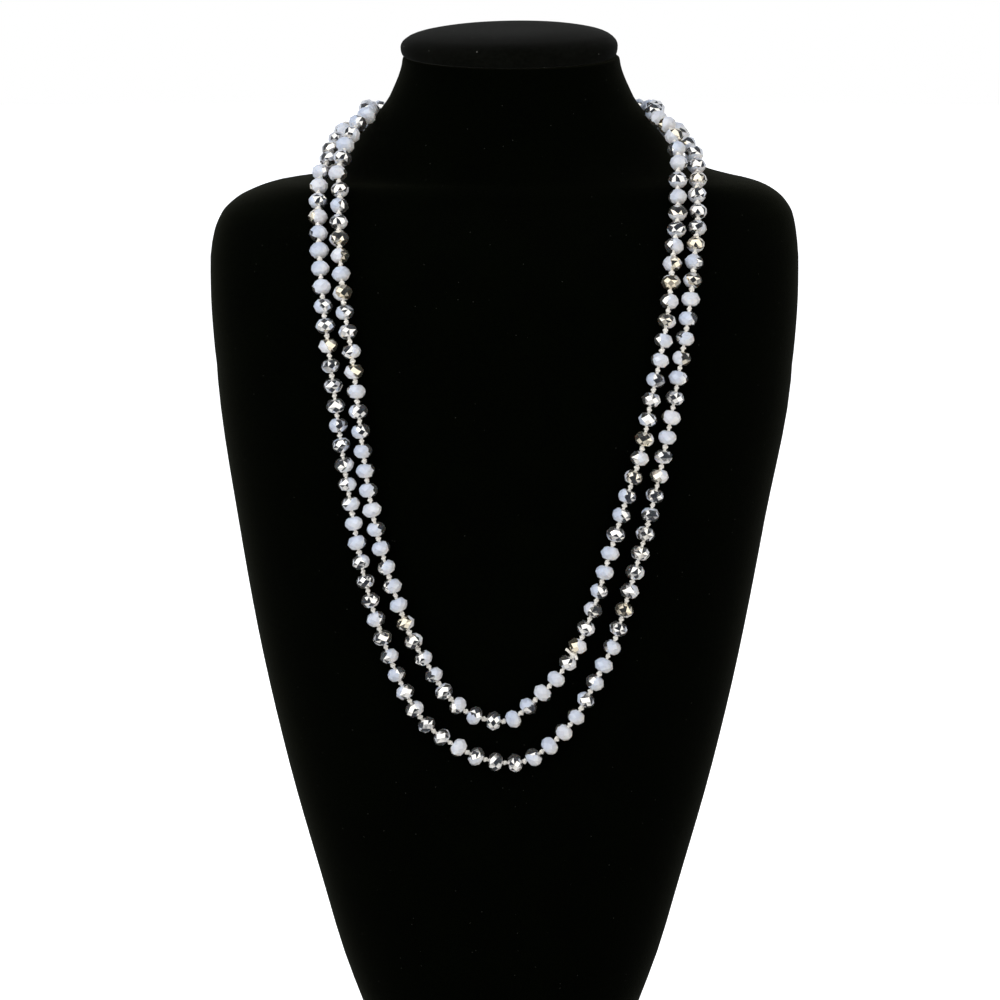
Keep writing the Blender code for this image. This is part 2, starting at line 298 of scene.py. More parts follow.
# station, width, front, back, lean, squareness
bustSections = [
    (0.000, 0.000, 0.000, 0.000, 1.00, 2.40),
    (0.110, 0.166, 0.220, 0.100, 1.00, 2.40),
    (0.210, 0.284, 0.400, 0.250, 1.00, 2.40),
    (0.400, 0.500, 0.680, 0.500, 1.00, 2.45),
    (0.590, 0.676, 0.880, 0.720, 1.00, 2.50),
    (0.780, 0.816, 0.980, 0.900, 0.80, 2.50),
    (1.000, 0.957, 1.000, 1.000, 0.00, 2.50),
    (1.150, 0.985, 0.964, 1.000, 0.00, 2.50),
    (1.270, 0.997, 0.882, 1.000, 0.00, 2.50),
    (1.375, 1.000, 0.755, 1.000, 0.00, 2.50),
    (1.450, 0.987, 0.627, 1.000, 0.10, 2.50),
    (1.510, 0.934, 0.509, 0.900, 0.30, 2.50),
    (1.554, 0.866, 0.418, 0.750, 0.45, 2.50),
    (1.588, 0.803, 0.355, 0.600, 0.55, 2.50),
    (1.607, 0.720, 0.309, 0.450, 0.60, 2.50),
    (1.622, 0.560, 0.273, 0.350, 0.67, 2.40),
    (1.644, 0.446, 0.236, 0.250, 0.75, 2.30),
    (1.682, 0.345, 0.182, 0.150, 0.85, 2.20),
    (1.727, 0.267, 0.136, 0.100, 1.00, 2.10),
    (1.783, 0.192, 0.091, 0.050, 1.00, 2.00),
    (1.824, 0.137, 0.064, 0.030, 1.00, 2.00),
    (1.880, 0.072, 0.033, 0.000, 1.00, 2.00),
    (2.000, 0.000, 0.000, 0.000, 1.00, 2.00),
]


def sectionShares(station):
    rows = bustSections
    station = min(max(station, 0.0), 2.0)
    low = max(i for i in range(len(rows) - 1) if rows[i][0] <= station)
    part = (station - rows[low][0]) / (rows[low + 1][0] - rows[low][0])
    return [a + (b - a) * part for a, b in zip(rows[low][1:], rows[low + 1][1:])]


def trimmedSections():
    trims = {station: (width, lean) for station, width, lean in bust["trim"]}
    rows = []
    for station, width, front, back, lean, squareness in bustSections:
        more = trims.get(station, (0, 0))
        rows.append((station, width + more[0], front, back, lean + more[1], squareness))
    return rows


def velvetShares(station, rows):
    # Smooth curve through the sections that never swings past them
    def pitch(i, k):
        return (rows[i + 1][k] - rows[i][k]) / (rows[i + 1][0] - rows[i][0])

    def slope(i, k):
        if i == 0:
            return pitch(0, k)
        if i == len(rows) - 1:
            return 0
        before, after = pitch(i - 1, k), pitch(i, k)
        return 2 * before * after / (before + after) if before * after > 0 else 0

    low = max(i for i in range(len(rows) - 1) if rows[i][0] <= station)
    span = rows[low + 1][0] - rows[low][0]
    t = (station - rows[low][0]) / span
    shares = []
    for k in range(1, 6):
        a, b = rows[low][k], rows[low + 1][k]
        m, n = slope(low, k) * span, slope(low + 1, k) * span
        shares.append(a + t * (m + t * (3 * (b - a) - 2 * m - n + t * (2 * (a - b) + m + n))))
    return shares


def bustPoint(station, turn, shares=None):
    width, front, back, lean, squareness = shares or sectionShares(station)
    if station <= 1:
        ends = bust["baseWidth"], bust["baseFront"], bust["baseBack"], bust["baseLean"]
        height = bust["chestHeight"] * station
    else:
        ends = bust["neckWidth"], bust["neckDepth"] / 2, bust["neckDepth"] / 2, bust["neckLean"]
        height = bust["chestHeight"] + (bust["neckTop"] - bust["chestHeight"]) * (station - 1)
    halfWidth = (ends[0] + (bust["shoulderWidth"] - ends[0]) * width) / 2
    front = ends[1] + (bust["chestFront"] - ends[1]) * front
    back = ends[2] + (bust["shoulderBack"] - ends[2]) * back
    s, c = sin(radians(turn)), cos(radians(turn))
    x = halfWidth * (1 if s > 0 else -1) * abs(s) ** (2 / squareness)
    y = -(back + front) / 2 * (1 if c > 0 else -1) * abs(c) ** (2 / squareness)
    middle = (back - front) / 2
    tilt = tan(bust["neckTilt"]) * max(0, station - bust["tiltStart"]) / (2 - bust["tiltStart"])
    return Vector((x + ends[3] * lean, y + middle + bust["setback"], height + y * tilt))


def bustNormal(station, turn):
    climb, swing = bust["normalSteps"]
    rise = bustPoint(station + climb, turn) - bustPoint(station - climb, turn)
    sweep = bustPoint(station, turn + swing) - bustPoint(station, turn - swing)
    return sweep.cross(rise).normalized()


def loftRings(name, rings, finish, sharp=60):
    # Closed smooth shell through rings of as many points each, from the bottom up
    bm = bmesh.new()
    corners = [[bm.verts.new(point) for point in ring] for ring in rings]
    count = len(rings[0])
    for low, high in zip(corners, corners[1:]):
        for i in range(count):
            j = (i + 1) % count
            bm.faces.new((low[i], low[j], high[j], high[i]))
    for ring, outward in ((corners[0], -1), (corners[-1], 1)):
        hub = bm.verts.new(sum((corner.co for corner in ring), Vector()) / count)
        for i in range(count):
            pair = (ring[i], ring[(i + 1) % count])[::outward]
            bm.faces.new((*pair, hub))
    bmesh.ops.recalc_face_normals(bm, faces=bm.faces)
    mesh = bpy.data.meshes.new(name)
    bm.to_mesh(mesh)
    bm.free()
    mesh.materials.append(finish)
    mesh.shade_smooth()
    mesh.set_sharp_from_angle(angle=radians(sharp))
    piece = bpy.data.objects.new(name, mesh)
    scene.collection.objects.link(piece)
    return piece


def makeBust():
    turns = [360 * i / bust["sides"] for i in range(bust["sides"])]
    foot = Vector((bust["baseLean"], (bust["baseBack"] - bust["baseFront"]) / 2 + bust["setback"], 0))
    rings = []
    for height, inset in bust["footRound"]:
        rings.append([foot + (bustPoint(0, t) - foot) * inset + Vector((0, 0, height)) for t in turns])
    rows = trimmedSections()
    for first, last, count in bust["rings"]:
        for i in range(count):
            station = first + (last - first) * i / (count - 1)
            shares = velvetShares(station, rows)
            rings.append([bustPoint(station, t, shares) for t in turns])
    rim = [bustPoint(2, t, rows[-1][1:]) for t in turns]
    hub = sum(rim, Vector()) / len(rim)
    for drop, inset in bust["rimRound"]:
        rings.append([hub + (point - hub) * inset - Vector((0, 0, drop)) for point in rim])
    return loftRings("velvet_bust", rings, makeVelvet("blackVelvet", "bust"))


# The velvet cushion on top of the neck, a little higher at its right end
cap = {
    "width": 0.0928, "depth": 0.0728, "thickness": 0.0095, "seatGap": 0.0003, "lean": 0.002,
    # share of the thickness, share of the width
    "profile": [(0.0, 0.965), (0.03, 0.978), (0.09, 0.987), (0.18, 0.994), (0.30, 0.999), (0.42, 1.0),
                (0.53, 0.996), (0.64, 0.984), (0.745, 0.962), (0.855, 0.93), (0.94, 0.89), (1.0, 0.85),
                (1.053, 0.80), (1.098, 0.75), (1.137, 0.70), (1.19, 0.60), (1.225, 0.46), (1.24, 0.30),
                (1.245, 0.15)],
    "backRise": 0.0003, "roll": 0.0165,
}


def makeCap():
    rings = []
    for share, outline in cap["profile"]:
        ring = []
        for i in range(bust["sides"]):
            turn = 2 * pi * i / bust["sides"]
            x = cap["width"] / 2 * outline * sin(turn)
            y = -cap["depth"] / 2 * outline * cos(turn)
            z = bust["neckTop"] + cap["seatGap"] + cap["thickness"] * share + y * tan(bust["neckTilt"])
            z += share * (cap["backRise"] * (0.5 + y / cap["depth"]) + cap["roll"] * x)
            ring.append(Vector((x + cap["lean"], y + bust["setback"], z)))
        rings.append(ring)
    return loftRings("velvet_cap", rings, makeVelvet("capVelvet", "cap"))


velvetBust = makeBust()
velvetCap = makeCap()
for piece, node, slot in ((velvetBust, "neck_bust", "black_velvet"), (velvetCap, "neck_cap", "cap_velvet")):
    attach(piece, "root")
    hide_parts(node)
print("bust and cap made")


# Route of the thread, once round for each string, the same as the solid's
# station, turn, lift
innerRoute = [
    (1.775, -180, 0.00), (1.788, -168, 0.00), (1.797, -150, 0.00), (1.799, -128, 0.00),
    (1.803, -106, 0.00), (1.812, -90, 0.00), (1.810, -79, 0.02), (1.788, -72, 0.24),
    (1.754, -67, 0.65), (1.709, -62, 0.81), (1.666, -56, 0.94), (1.630, -47.7, 0.82),
    (1.609, -39.5, 0.36), (1.588, -34.4, 0.02), (1.494, -29.5, 0.00), (1.393, -27.3, 0.00),
    (1.240, -26.0, 0.00), (1.129, -24.8, 0.00), (0.976, -23.9, 0.00), (0.832, -22.2, 0.00),
    (0.719, -18.8, 0.00), (0.638, -15.0, 0.00), (0.589, -11.2, 0.00), (0.560, -9.1, 0.00),
    (0.525, -3.8, 0.00), (0.519, 1.3, 0.00), (0.541, 4.0, 0.00), (0.582, 8.8, 0.00),
    (0.631, 12.7, 0.00), (0.685, 15.4, 0.00), (0.766, 18.0, 0.00), (0.847, 20.5, 0.00),
    (0.930, 23.1, 0.00), (0.992, 23.8, 0.00), (1.092, 25.2, 0.00), (1.255, 26.9, 0.00),
    (1.405, 28.2, 0.00), (1.503, 30.5, 0.00), (1.589, 34.6, 0.05), (1.609, 38.7, 0.44),
    (1.623, 46.5, 0.95), (1.663, 54.6, 1.02), (1.707, 60.7, 1.05), (1.753, 65.0, 0.76),
    (1.784, 70.5, 0.28), (1.808, 78.5, 0.02), (1.811, 90, 0.00), (1.803, 106, 0.04),
    (1.799, 128, 0.22), (1.797, 150, 0.62), (1.788, 168, 1.06),
]
outerRoute = [
    (1.775, -180, 1.15), (1.757, -168, 1.06), (1.736, -150, 0.62), (1.729, -128, 0.22),
    (1.732, -106, 0.04), (1.739, -92, 0.08), (1.733, -82, 0.33), (1.714, -75, 0.59),
    (1.680, -69.5, 0.64), (1.649, -63, 0.65), (1.625, -54, 0.54), (1.609, -46.3, 0.14),
    (1.586, -40.7, 0.00), (1.496, -34.7, 0.00), (1.401, -32.2, 0.00), (1.247, -30.8, 0.00),
    (1.136, -29.9, 0.00), (0.982, -28.9, 0.00), (0.842, -27.1, 0.00), (0.725, -25.0, 0.00),
    (0.619, -21.0, 0.00), (0.565, -18.1, 0.00), (0.514, -14.0, 0.00), (0.478, -7.6, 0.00),
    (0.455, -1.2, 0.00), (0.455, 3.7, 0.00), (0.475, 7.7, 0.00), (0.518, 13.1, 0.00),
    (0.570, 16.8, 0.00), (0.624, 20.2, 0.00), (0.709, 23.2, 0.00), (0.822, 26.3, 0.00),
    (0.963, 28.7, 0.00), (1.103, 30.2, 0.00), (1.271, 31.9, 0.00), (1.427, 33.6, 0.00),
    (1.523, 36.6, 0.00), (1.572, 39.0, 0.08), (1.603, 43.8, 0.20), (1.619, 52.7, 0.60),
    (1.645, 62.9, 0.79), (1.690, 69.3, 0.65), (1.719, 75.3, 0.49), (1.737, 83, 0.25),
    (1.739, 92, 0.08), (1.732, 106, 0.00), (1.729, 128, 0.00), (1.736, 150, 0.00),
    (1.757, 168, 0.00),
]
bead = {
    "diameter": 0.0080, "bore": 0.0012, "sides": 8,
    # radius and height of each ring of corners
    "girdle": (0.00406, 0), "rim": (0.00362, 0.00116),
    "crown": (0.00274, 0.00240), "table": (0.00174, 0.00276),
    "pitch": 0.00822, "firstShift": 0.35, "clearance": 0.00045, "curveSteps": 24,
    "tilt": radians(7), "sizeSpread": 0.03, "seed": 11,
    # painted light: this fixed direction sets which side of each bead is painted bluish and which cream
    "light": (-0.62, -0.25, 0.74),  # the way to the light that the opal glass shows
}


def threadLine():
    # Dense closed line of the thread's centre, with the outward direction at each point
    knots, normals = [], []
    for station, turn, lift in innerRoute + outerRoute:
        normal = bustNormal(station, turn)
        lay = bead["diameter"] * (0.5 + lift) + bead["clearance"]
        knots.append(bustPoint(station, turn) + normal * lay)
        normals.append(normal)
    count, steps = len(knots), bead["curveSteps"]
    slopes = []
    for i in range(count):
        before = knots[i] - knots[i - 1]
        after = knots[(i + 1) % count] - knots[i]
        slopes.append((before / before.length * after.length + after / after.length * before.length)
                      / (before.length + after.length))
    points, sides = [], []
    for i in range(count):
        j = (i + 1) % count
        reach = (knots[j] - knots[i]).length / 3
        handles = knots[i] + slopes[i] * reach, knots[j] - slopes[j] * reach
        points += interpolate_bezier(knots[i], *handles, knots[j], steps + 1)[:-1]
        sides += [normals[i].lerp(normals[j], k / steps) for k in range(steps)]
    return points, sides


def threadFrames():
    # Frames at every half pitch round the thread: even ones are knots, odd ones are beads
    points, sides = threadLine()
    count = len(points)
    reached = [0.0]
    for i in range(count):
        reached.append(reached[-1] + (points[(i + 1) % count] - points[i]).length)
    firstLength = reached[count * len(innerRoute) // (len(innerRoute) + len(outerRoute))]
    total = round(reached[-1] / bead["pitch"])
    pitch = reached[-1] / total
    firstCount = round(firstLength / pitch - bead["firstShift"])
    frames = []
    for i in range(2 * total + 1):
        goal = pitch * (i / 2 + bead["firstShift"]) % reached[-1]
        at = bisect_right(reached, goal, 0, count) - 1
        part = (goal - reached[at]) / (reached[at + 1] - reached[at])
        after = (at + 1) % count
        centre = points[at].lerp(points[after], part)
        along = (points[after] - points[at]).normalized()
        out = sides[at].lerp(sides[after], part)
        across = along.cross(out).normalized()
        frames.append((centre, along, across.cross(along)))
    return frames, total, firstCount


frames, beadCount, innerCount = threadFrames()
print("beads on the thread:", beadCount, "on the inner string:", innerCount)

# Where the silver lies on each bead that the front shows: the whole number is the hour on a clock
# face, and the tenths are how much of the bead that the viewer sees is silver. Bead number: values.
silverChart = {
    10: [10.4, 7.0, 3.6, 10.6, 0.0, 2.9, 4.2, 11.8, 3.5, 10.8],
    20: [2.9, 3.4, 0.0, 2.8, 2.6, 3.9, 9.6, 2.6, 9.1, 3.8],
    30: [2.6, 2.2, 2.1, 3.2, 0.0, 2.3, 3.1, 9.3, 9.3, 0.0],
    40: [9.8, 8.8, 9.5, 8.5, 5.9, 8.4, 1.5, 0.9, 0.0, 5.5],
    50: [5.1, 0.0, 10.7, 9.5, 10.8, 4.7, 3.6, 0.0, 0.0, 1.9],
    60: [3.5, 3.6, 3.9, 9.4, 9.9, 2.8, 9.9, 3.6, 9.1, 9.3],
    70: [10.8, 9.4, 6.9, 3.6, 9.4, 0.8, 0.7, 9.1, 0.7, 3.2],
    80: [9.3, 2.5, 9.2, 7.1, 0.6, 0.5],
    110: [0.7, 0.8, 0.9, 3.4, 8.1, 2.7, 9.3, 8.2, 0.0, 0.0],
    120: [8.1, 2.6, 4.9, 2.6, 1.9, 11.9, 0.9, 3.6, 6.9, 10.7],
    130: [9.6, 10.4, 0.0, 4.1, 8.7, 10.9, 11.9, 3.3, 0.9, 8.5],
    140: [2.4, 3.7, 8.7, 0.9, 9.9, 7.1, 0.6, 10.9, 0.9, 0.3],
    150: [0.0, 10.1, 10.1, 4.8, 10.4, 0.0, 9.2, 2.9, 0.9, 9.7],
    160: [10.8, 0.9, 4.9, 6.8, 2.9, 9.6, 0.8, 0.0, 9.1, 10.9],
    170: [3.2, 3.5, 10.3, 3.3, 0.0, 2.8, 3.4, 0.9, 10.7, 9.9],
    180: [0.8, 0.8, 0.7, 0.6, 0.5],
}
silverReach = {"leastShare": 0.02, "mostFacing": 0.97}


def silverDirections():
    # Unit vector to the middle of each bead's silver, drawn at random for those that don't show
    draw = Random(bead["seed"])
    directions = []
    for i in range(beadCount):
        directions.append(Vector([draw.gauss(0, 1) for k in range(3)]).normalized())
    for first, values in silverChart.items():
        for i, value in enumerate(values):
            hour = int(value)
            share = max(silverReach["leastShare"], value - hour)
            facing = min(silverReach["mostFacing"], 2 * share - 1)
            clock = upward * cos(radians(30 * hour)) + rightward * sin(radians(30 * hour))
            directions[first + i] = clock * (1 - facing * facing) ** 0.5 - ahead * facing
    return directions


def makeBeadShape():
    # One cut bead: eight diamond facets round its girdle, then kites and a ring of small facets each side
    sides = bead["sides"]
    bm = bmesh.new()

    def ring(radius, height, step):
        return [bm.verts.new((radius * cos(2 * pi * (i + step) / sides),
                              radius * sin(2 * pi * (i + step) / sides), height)) for i in range(sides)]

    waist = ring(*bead["girdle"], 0)
    rims = {}
    for side in (-1, 1):
        rim = rims[side] = ring(bead["rim"][0], side * bead["rim"][1], 0.5)
        crown = ring(bead["crown"][0], side * bead["crown"][1], 0)
        table = ring(bead["table"][0], side * bead["table"][1], 0.5)
        for i in range(sides):
            j = (i + 1) % sides
            bm.faces.new((waist[i], rim[i - 1], crown[i], rim[i]))
            bm.faces.new((crown[i], crown[j], rim[i]))
            bm.faces.new((crown[i], crown[j], table[i]))
            bm.faces.new((table[i - 1], table[i], crown[i]))
        bm.faces.new(table)
    for i in range(sides):
        j = (i + 1) % sides
        bm.faces.new((waist[i], rims[-1][i], waist[j], rims[1][i]))
    bmesh.ops.recalc_face_normals(bm, faces=bm.faces)
    mesh = bpy.data.meshes.new("cutBead")
    bm.to_mesh(mesh)
    bm.free()
    return bpy.data.objects.new("cutBead", mesh)


# Each knot is the thread wound once and a half round itself and pulled tight
knot = {
    "coil": 0.00062, "thread": 0.00060, "length": 0.0011, "turns": 1.5, "steps": 12, "sides": 5,
    # the coil's swell at its ends, how fast it rises, and the thread's least share
    "endSwell": 0.25, "swellRise": 4, "thin": 0.6,
    # the joining knot's place as a share of the way round, and its size
    "joining": 0.266, "joiningSize": 1.6,
    "tilt": 0.2, "sizeSpread": 0.1, "seed": 5,
}


def makeKnotShape():
    bm = bmesh.new()
    rings = []
    for i in range(knot["steps"] + 1):
        part = i / knot["steps"]
        angle = 2 * pi * knot["turns"] * part
        near = min(part, 1 - part)
        swell = sin(pi * min(1, knot["endSwell"] + near * knot["swellRise"]) / 2)
        centre = Vector((cos(angle), sin(angle), 0)) * knot["coil"] * swell
        centre.z = knot["length"] * (part - 0.5)
        around = Vector((-sin(angle), cos(angle), knot["length"] / (2 * pi * knot["coil"])))
        around.normalize()
        out = Vector((cos(angle), sin(angle), 0))
        side = around.cross(out)
        size = knot["thread"] * (knot["thin"] + (1 - knot["thin"]) * swell)
        rings.append([bm.verts.new(centre + (out * cos(2 * pi * k / knot["sides"])
                                             + side * sin(2 * pi * k / knot["sides"])) * size)
                      for k in range(knot["sides"])])
    for low, high in zip(rings, rings[1:]):
        for k in range(knot["sides"]):
            j = (k + 1) % knot["sides"]
            bm.faces.new((low[k], low[j], high[j], high[k]))
    bm.faces.new(rings[0][::-1])
    bm.faces.new(rings[-1])
    bmesh.ops.recalc_face_normals(bm, faces=bm.faces)
    for face in bm.faces:
        face.smooth = True
    mesh = bpy.data.meshes.new("threadKnot")
    bm.to_mesh(mesh)
    bm.free()
    return bpy.data.objects.new("threadKnot", mesh)


def makeStringingTree():
    # Sets one shape on every seat of a string, each turned about the thread and tilted a little
    tree = bpy.data.node_groups.new("stringing", "GeometryNodeTree")
    kinds = {"Seats": "Geometry", "Shape": "Object", "Finish": "Material", "Radius": "Float",
             "Light": "Vector", "Tilt": "Float", "Size Spread": "Float", "Seed": "Int"}
    for name, kind in kinds.items():
        tree.interface.new_socket(name=name, in_out="INPUT", socket_type="NodeSocket" + kind)
    tree.interface.new_socket(name="Geometry", in_out="OUTPUT", socket_type="NodeSocketGeometry")
    wire = Wire(tree)
    given = tree.nodes.new("NodeGroupInput")
    entry = {name: Wire(tree, given.outputs[name]) for name in kinds}

    def read(name):
        return wire.make("GeometryNodeInputNamedAttribute", {"data_type": "FLOAT_VECTOR"}, {"Name": name})

    def store(geometry, name, value, kind="FLOAT", domain="POINT"):
        return wire.make("GeometryNodeStoreNamedAttribute", {"data_type": kind, "domain": domain},
                         {"Geometry": geometry, "Name": name, "Value": value})

    def dot(first, second):
        return wire.make("ShaderNodeVectorMath", {"operation": "DOT_PRODUCT"}, {0: first, 1: second}, 1)

    def chance(low, high, seed, kind="FLOAT", output=1):
        values = {"Seed": seed}
        at = {"FLOAT": (2, 3), "FLOAT_VECTOR": (0, 1)}[kind]
        values[at[0]], values[at[1]] = low, high
        return wire.make("FunctionNodeRandomValue", {"data_type": kind}, values, output)

    place = wire.make("GeometryNodeInputPosition")
    seats = store(entry["Seats"], "centre", place, "FLOAT_VECTOR")
    seats = store(seats, "shade", chance(0.0, 1.0, entry["Seed"] + 3))
    shape = wire.make("GeometryNodeObjectInfo", None, {"Object": entry["Shape"]}, 4)
    facing = wire.make("FunctionNodeAxesToRotation", {"primary_axis": "Z", "secondary_axis": "X"},
                       {"Primary Axis": read("along"), "Secondary Axis": read("out")})
    lift = chance(1 - entry["Size Spread"], 1 + entry["Size Spread"], entry["Seed"] + 2)
    strung = wire.make("GeometryNodeInstanceOnPoints", None, {
        "Points": seats, "Instance": shape, "Rotation": facing, "Scale": lift * read("size")})
    tilts = [chance(entry["Tilt"] * -1, entry["Tilt"], entry["Seed"] + 5 + k) for k in (0, 1)]
    turn = chance(0.0, 2 * pi, entry["Seed"] + 1)
    leaning = wire.make("ShaderNodeCombineXYZ", None, {"X": tilts[0], "Y": tilts[1]})
    turning = wire.make("ShaderNodeCombineXYZ", None, {"Z": turn})
    for angles in (leaning, turning):
        strung = wire.make("GeometryNodeRotateInstances", None, {"Instances": strung, "Rotation": angles})
    whole = wire.make("GeometryNodeRealizeInstances", None, {"Geometry": strung})
    offset = wire.make("ShaderNodeVectorMath", {"operation": "SUBTRACT"}, {0: place, 1: read("centre")})
    whole = store(whole, "silver", wire.sum("DIVIDE", dot(offset, read("coat")), entry["Radius"]))
    # Painted light: how far each point lies toward the fixed light, which paints the glass's colour
    whole = store(whole, "glow", wire.sum("DIVIDE", dot(offset, entry["Light"]), entry["Radius"]))
    whole = store(whole, "slant", dot(wire.make("GeometryNodeInputNormal"), read("coat")), domain="FACE")
    whole = store(whole, "facet", chance(-1.0, 1.0, entry["Seed"] + 9), domain="FACE")
    done = wire.make("GeometryNodeSetMaterial", None, {"Geometry": whole, "Material": entry["Finish"]})
    leave = tree.nodes.new("NodeGroupOutput")
    tree.links.new(done.socket, leave.inputs[0])
    return tree


def applyTree(name, source, tree, inputs):
    # Runs the tree on the source and keeps the result as a plain mesh
    scene.collection.objects.link(source)
    modifier = source.modifiers.new("nodes", "NODES")
    modifier.node_group = tree
    sockets = {item.name: item.identifier for item in tree.interface.items_tree if item.in_out == "INPUT"}
    for key, value in inputs.items():
        modifier[sockets[key]] = value
    graph = bpy.context.evaluated_depsgraph_get()
    mesh = bpy.data.meshes.new_from_object(source.evaluated_get(graph))
    mesh.name = name
    for spare in ("centre", "coat", "along", "out", "size"):
        if spare in mesh.attributes:
            mesh.attributes.remove(mesh.attributes[spare])
    bpy.data.objects.remove(source)
    piece = bpy.data.objects.new(name, mesh)
    scene.collection.objects.link(piece)
    return piece


def makeSeats(name, chosen, coats, sizes):
    mesh = bpy.data.meshes.new(name)
    mesh.from_pydata([f[0] for f in chosen], [], [])
    layers = {
        "along": [f[1] for f in chosen],
        "out": [f[2] for f in chosen],
        "coat": coats,
        "size": [Vector((s, s, s)) for s in sizes],
    }
    for key, vectors in layers.items():
        layer = mesh.attributes.new(key, "FLOAT_VECTOR", "POINT")
        layer.data.foreach_set("vector", [number for vector in vectors for number in vector])
    return bpy.data.objects.new(name, mesh)


def makeThreadTree():
    tree = bpy.data.node_groups.new("threadTube", "GeometryNodeTree")
    kinds = {"Path": "Geometry", "Finish": "Material", "Radius": "Float", "Sides": "Int"}
    for name, kind in kinds.items():
        tree.interface.new_socket(name=name, in_out="INPUT", socket_type="NodeSocket" + kind)
    tree.interface.new_socket(name="Geometry", in_out="OUTPUT", socket_type="NodeSocketGeometry")
    wire = Wire(tree)
    given = tree.nodes.new("NodeGroupInput")
    entry = {name: Wire(tree, given.outputs[name]) for name in kinds}
    profile = wire.make("GeometryNodeCurvePrimitiveCircle", {"mode": "RADIUS"},
                        {"Resolution": entry["Sides"], "Radius": entry["Radius"]})
    tube = wire.make("GeometryNodeCurveToMesh", None,
                     {"Curve": entry["Path"], "Profile Curve": profile, "Fill Caps": True})
    whole = wire.make("GeometryNodeRealizeInstances", None, {"Geometry": tube})
    done = wire.make("GeometryNodeSetMaterial", None, {"Geometry": whole, "Material": entry["Finish"]})
    leave = tree.nodes.new("NodeGroupOutput")
    tree.links.new(done.socket, leave.inputs[0])
    return tree


def makePath(name, lines):
    # Open lines of points, each with a share of the tube's radius at every point
    curve = bpy.data.curves.new(name, "CURVE")
    curve.dimensions = "3D"
    for line in lines:
        spline = curve.splines.new("POLY")
        spline.points.add(len(line) - 1)
        for point, (place, share) in zip(spline.points, line):
            point.co = (*place, 1)
            point.radius = share
    return bpy.data.objects.new(name, curve)


def joinPieces(name, parts):
    # Puts several plain meshes into one piece, with their materials
    bm = bmesh.new()
    finishes = []
    for part in parts:
        start = len(bm.faces)
        bm.from_mesh(part.data)
        bm.faces.ensure_lookup_table()
        shift = len(finishes)
        finishes += list(part.data.materials)
        for face in bm.faces[start:]:
            face.material_index += shift
        bpy.data.objects.remove(part)
    mesh = bpy.data.meshes.new(name)
    bm.to_mesh(mesh)
    bm.free()
    for finish in finishes:
        mesh.materials.append(finish)
    piece = bpy.data.objects.new(name, mesh)
    scene.collection.objects.link(piece)
    return piece


# The two cut ends of thread at the joining knot, in millimetres right, up and forward of it
tails = {
    # share of the thread's size, points
    "ends": [(0.42, [(-0.9, 0.7, 0.9), (-1.6, 1.2, 1.3), (-2.3, 1.9, 1.5), (-3.0, 2.3, 1.5)]),
             (0.60, [(0.8, -0.2, 0.9), (1.3, -0.8, 1.2), (1.5, -1.5, 1.2), (1.5, -2.1, 1.1)])],
}


def makeStrings():
    coats = silverDirections()
    shape, wrap = makeBeadShape(), makeKnotShape()
    stringing, tubing = makeStringingTree(), makeThreadTree()
    opal, cream = makeOpalGlass("opalAndSilverGlass"), makeThreadFinish("creamThread")
    joining = round(beadCount * knot["joining"])
    for label, first, last in (("inner", 0, innerCount), ("outer", innerCount, beadCount)):
        count = last - first
        seats = makeSeats("beadSeats", [frames[2 * i + 1] for i in range(first, last)],
                          coats[first:last], [1.0] * count)
        beads = applyTree(label + "_cut_beads", seats, stringing, {
            "Shape": shape, "Finish": opal, "Radius": bead["diameter"] / 2, "Light": bead["light"],
            "Tilt": bead["tilt"], "Size Spread": bead["sizeSpread"], "Seed": bead["seed"] + first})
        sizes = [knot["joiningSize"] if i == joining else 1.0 for i in range(first, last)]
        seats = makeSeats("knotSeats", [frames[2 * i] for i in range(first, last)],
                          [Vector()] * count, sizes)
        knots = applyTree(label + "_knots", seats, stringing, {
            "Shape": wrap, "Finish": cream, "Radius": 1.0, "Tilt": knot["tilt"],
            "Size Spread": knot["sizeSpread"], "Seed": knot["seed"] + first})
        lines = [[(frames[i][0], 1.0) for i in range(2 * first, 2 * last + 1)]]
        if first <= joining < last:
            centre = frames[2 * joining][0]
            for size, end in tails["ends"]:
                line = [(centre, size)]
                for x, y, z in end:
                    line.append((centre + (rightward * x + upward * y - ahead * z) / 1000, size))
                lines.append(line)
        tube = applyTree(label + "_line", makePath("threadPath", lines), tubing, {
            "Finish": cream, "Radius": bead["bore"] / 2, "Sides": thread["sides"]})
        strand = joinPieces(label + "_thread", [knots, tube])
        for piece in (beads, strand):
            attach(piece, "root")
            label + "_glass_beads"
        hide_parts(label + "_bead_string")
        print(label, "string made:", len(beads.data.polygons), "bead faces")
    for spare in (shape, wrap):
        bpy.data.objects.remove(spare)


makeStrings()

